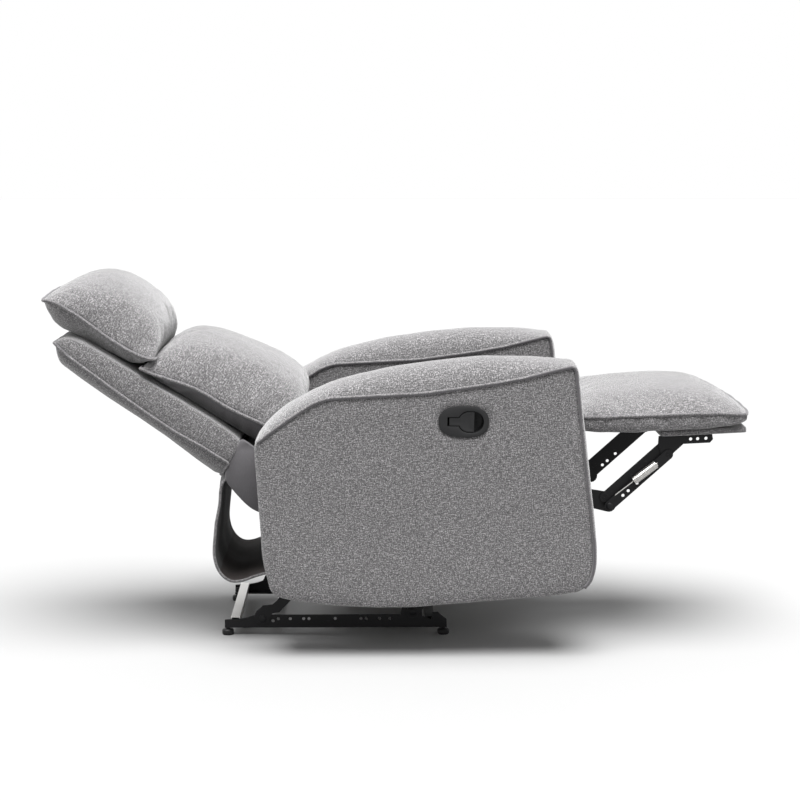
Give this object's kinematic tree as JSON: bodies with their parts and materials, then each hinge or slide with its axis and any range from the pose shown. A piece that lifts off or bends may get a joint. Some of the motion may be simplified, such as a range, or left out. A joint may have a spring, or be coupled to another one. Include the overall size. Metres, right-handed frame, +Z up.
{
  "type": "recliner armchair",
  "caption": "Manual push-back recliner armchair in grey woven fabric, fully reclined with its footrest out, on a black steel link mechanism with an oval pull handle in the arm",
  "frame": {"origin": "on the floor, under the middle of the chair's box in the reclined pose", "axes": "+X is the way the sitter faces, from the head pillow to the footrest's tip; +Y is the sitter's left; +Z is up"},
  "size_m": [1.6856, 0.836, 0.882],
  "materials": {
    "fabric": "heather grey woven upholstery, matt",
    "lining": "black dust cloth and dark lining",
    "black_steel": "black powder coat, satin",
    "zinc_steel": "bright zinc plate",
    "black_plastic": "moulded, fine texture",
    "timber": "bare sawn softwood and plywood"
  },
  "bodies": {
    "base": {"side_rail_right": "black_steel", "side_rail_left": "black_steel", "foot_rear_right": "black_plastic", "foot_front_right": "black_plastic", "foot_rear_left": "black_plastic", "foot_front_left": "black_plastic", "rear_cross_tube": "zinc_steel", "front_cross_tube": "black_steel"},
    "rear_carrier": {"rear_swing_link_right": "black_steel", "rear_swing_link_left": "black_steel", "torque_tube": "black_steel"},
    "front_carrier": {"front_swing_link_right": "black_steel", "front_swing_link_left": "black_steel"},
    "seat": {"seat_plate_right": "black_steel", "seat_plate_left": "black_steel", "seat_side_rail_right": "timber", "seat_side_rail_left": "timber", "seat_front_rail": "timber", "seat_rear_rail": "timber", "seat_springs": "zinc_steel", "seat_cushion": "fabric", "arm_outer_panel_right": "fabric", "arm_inner_panel_right": "fabric", "arm_frame_right": "timber", "arm_front_pad_right": "fabric", "arm_top_pad_right": "fabric", "arm_outer_panel_left": "fabric", "arm_inner_panel_left": "fabric", "arm_frame_left": "timber", "arm_front_pad_left": "fabric", "arm_top_pad_left": "fabric", "handle_housing": "black_plastic", "release_cable": "black_plastic", "rear_skirt": "lining"},
    "handle": {"release_lever": "black_plastic"},
    "back": {"back_shell": "fabric", "back_side_rail_right": "timber", "back_side_rail_left": "timber", "back_bracket_right": "black_steel", "back_bracket_left": "black_steel", "back_top_rail": "timber", "back_bottom_rail": "timber", "back_lower_pad": "lining", "lumbar_cushion": "fabric", "head_pillow": "fabric"},
    "footrest": {"footrest_pad": "fabric", "footrest_board": "fabric", "footrest_bracket_right": "black_steel", "footrest_bracket_left": "black_steel"},
    "long_links": {"footrest_long_link_right": "black_steel", "footrest_long_link_left": "black_steel", "footrest_brace_tube": "black_steel"},
    "lower_bars": {"footrest_lower_bar_right": "black_steel", "footrest_lower_bar_left": "black_steel", "footrest_spring_right": "zinc_steel", "footrest_spring_left": "zinc_steel"},
    "upper_bars": {"footrest_upper_bar_right": "black_steel", "footrest_upper_bar_left": "black_steel"}
  },
  "joints": [
    {"name": "recline", "type": "hinge", "parent": "base", "child": "rear_carrier", "pos_m": [-0.33397, 0, 0.042], "axis": [0, -1, 0], "range_deg": [0, 90]},
    {"name": "seat_tilt", "type": "hinge", "parent": "rear_carrier", "child": "seat", "pos_m": [-0.25124, 0, 0.12473], "axis": [0, -1, 0], "range_deg": [-94, 0]},
    {"name": "front_swing", "type": "hinge", "parent": "base", "child": "front_carrier", "pos_m": [0.03235, 0, 0.05899], "axis": [0, -1, 0], "range_deg": [0, 93]},
    {"name": "back_recline", "type": "hinge", "parent": "seat", "child": "back", "pos_m": [-0.23829, 0, 0.3983], "axis": [0, -1, 0], "range_deg": [-42, 0]},
    {"name": "footrest_fold", "type": "hinge", "parent": "seat", "child": "footrest", "pos_m": [0.41884, 0, 0.5054], "axis": [0, 1, 0], "range_deg": [0, 90]},
    {"name": "long_link_fold", "type": "hinge", "parent": "seat", "child": "long_links", "pos_m": [0.27913, 0, 0.37961], "axis": [0, 1, 0], "range_deg": [0, 90]},
    {"name": "lower_bar_fold", "type": "hinge", "parent": "long_links", "child": "lower_bars", "pos_m": [0.50794, 0, 0.32532], "axis": [0, 1, 0], "range_deg": [-90, 0]},
    {"name": "upper_bar_fold", "type": "hinge", "parent": "long_links", "child": "upper_bars", "pos_m": [0.49701, 0, 0.34483], "axis": [0, 1, 0], "range_deg": [-90, 0]},
    {"name": "release_pull", "type": "hinge", "parent": "seat", "child": "handle", "pos_m": [0.11741, -0.4118, 0.56003], "axis": [-0.0175, 0, -0.9998], "range_deg": [0, 26], "stiffness_Nm_per_rad": 0.6}
  ],
  "couplings": [
    {"joint": "seat_tilt", "follows": "recline", "ratio": -1.0444},
    {"joint": "front_swing", "follows": "recline", "ratio": 1.0332},
    {"joint": "back_recline", "follows": "recline", "ratio": -0.46666},
    {"joint": "long_link_fold", "follows": "footrest_fold", "ratio": 1},
    {"joint": "lower_bar_fold", "follows": "footrest_fold", "ratio": -1},
    {"joint": "upper_bar_fold", "follows": "footrest_fold", "ratio": -1}
  ]
}
